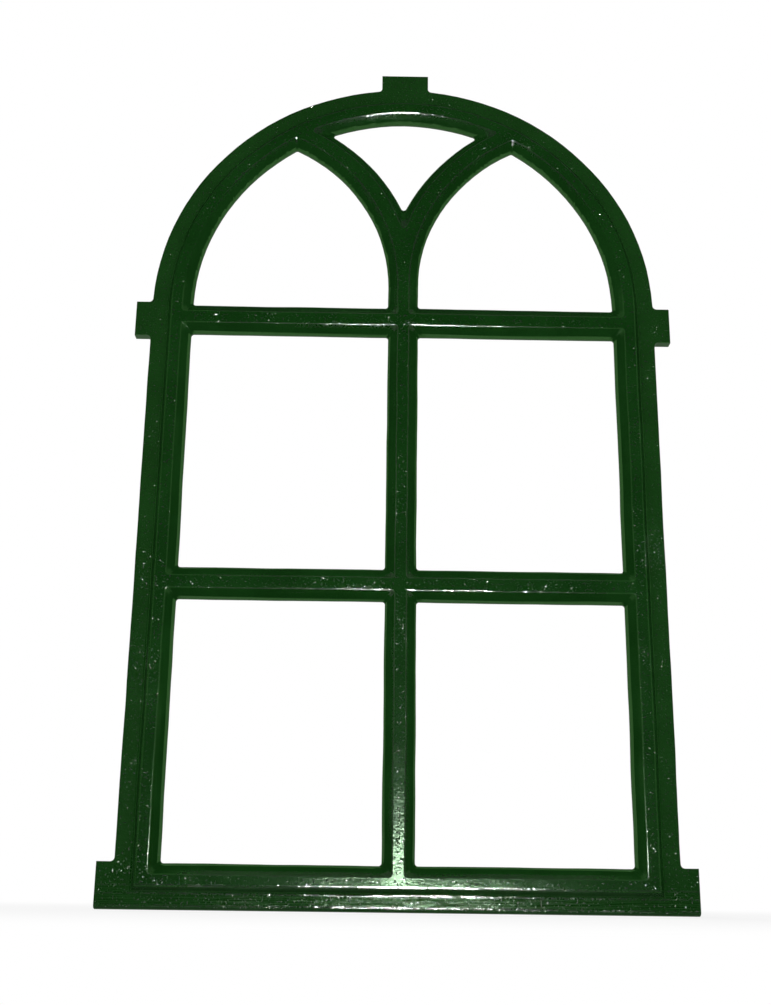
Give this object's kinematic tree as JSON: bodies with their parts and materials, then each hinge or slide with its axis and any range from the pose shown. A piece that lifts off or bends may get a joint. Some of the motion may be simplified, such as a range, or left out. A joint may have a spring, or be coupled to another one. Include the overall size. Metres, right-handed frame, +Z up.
{
  "type": "arched cast-iron barn window frame",
  "caption": "Round-headed barn window cast in one piece, with square lights, two pointed lights and a crown light behind moulded bars, and lugs for building into a wall.",
  "frame": {"origin": "middle of the bottom face, in the plane of the glazing ledges", "axes": "+X to the right seen from the front, +Y away from the viewer towards the glazed side, +Z up"},
  "size_m": [0.485, 0.016, 0.77],
  "materials": {
    "green_paint": "dark green gloss enamel over a sand-cast surface"
  },
  "bodies": {
    "root": {"window_frame": "green_paint"}
  },
  "joints": []
}
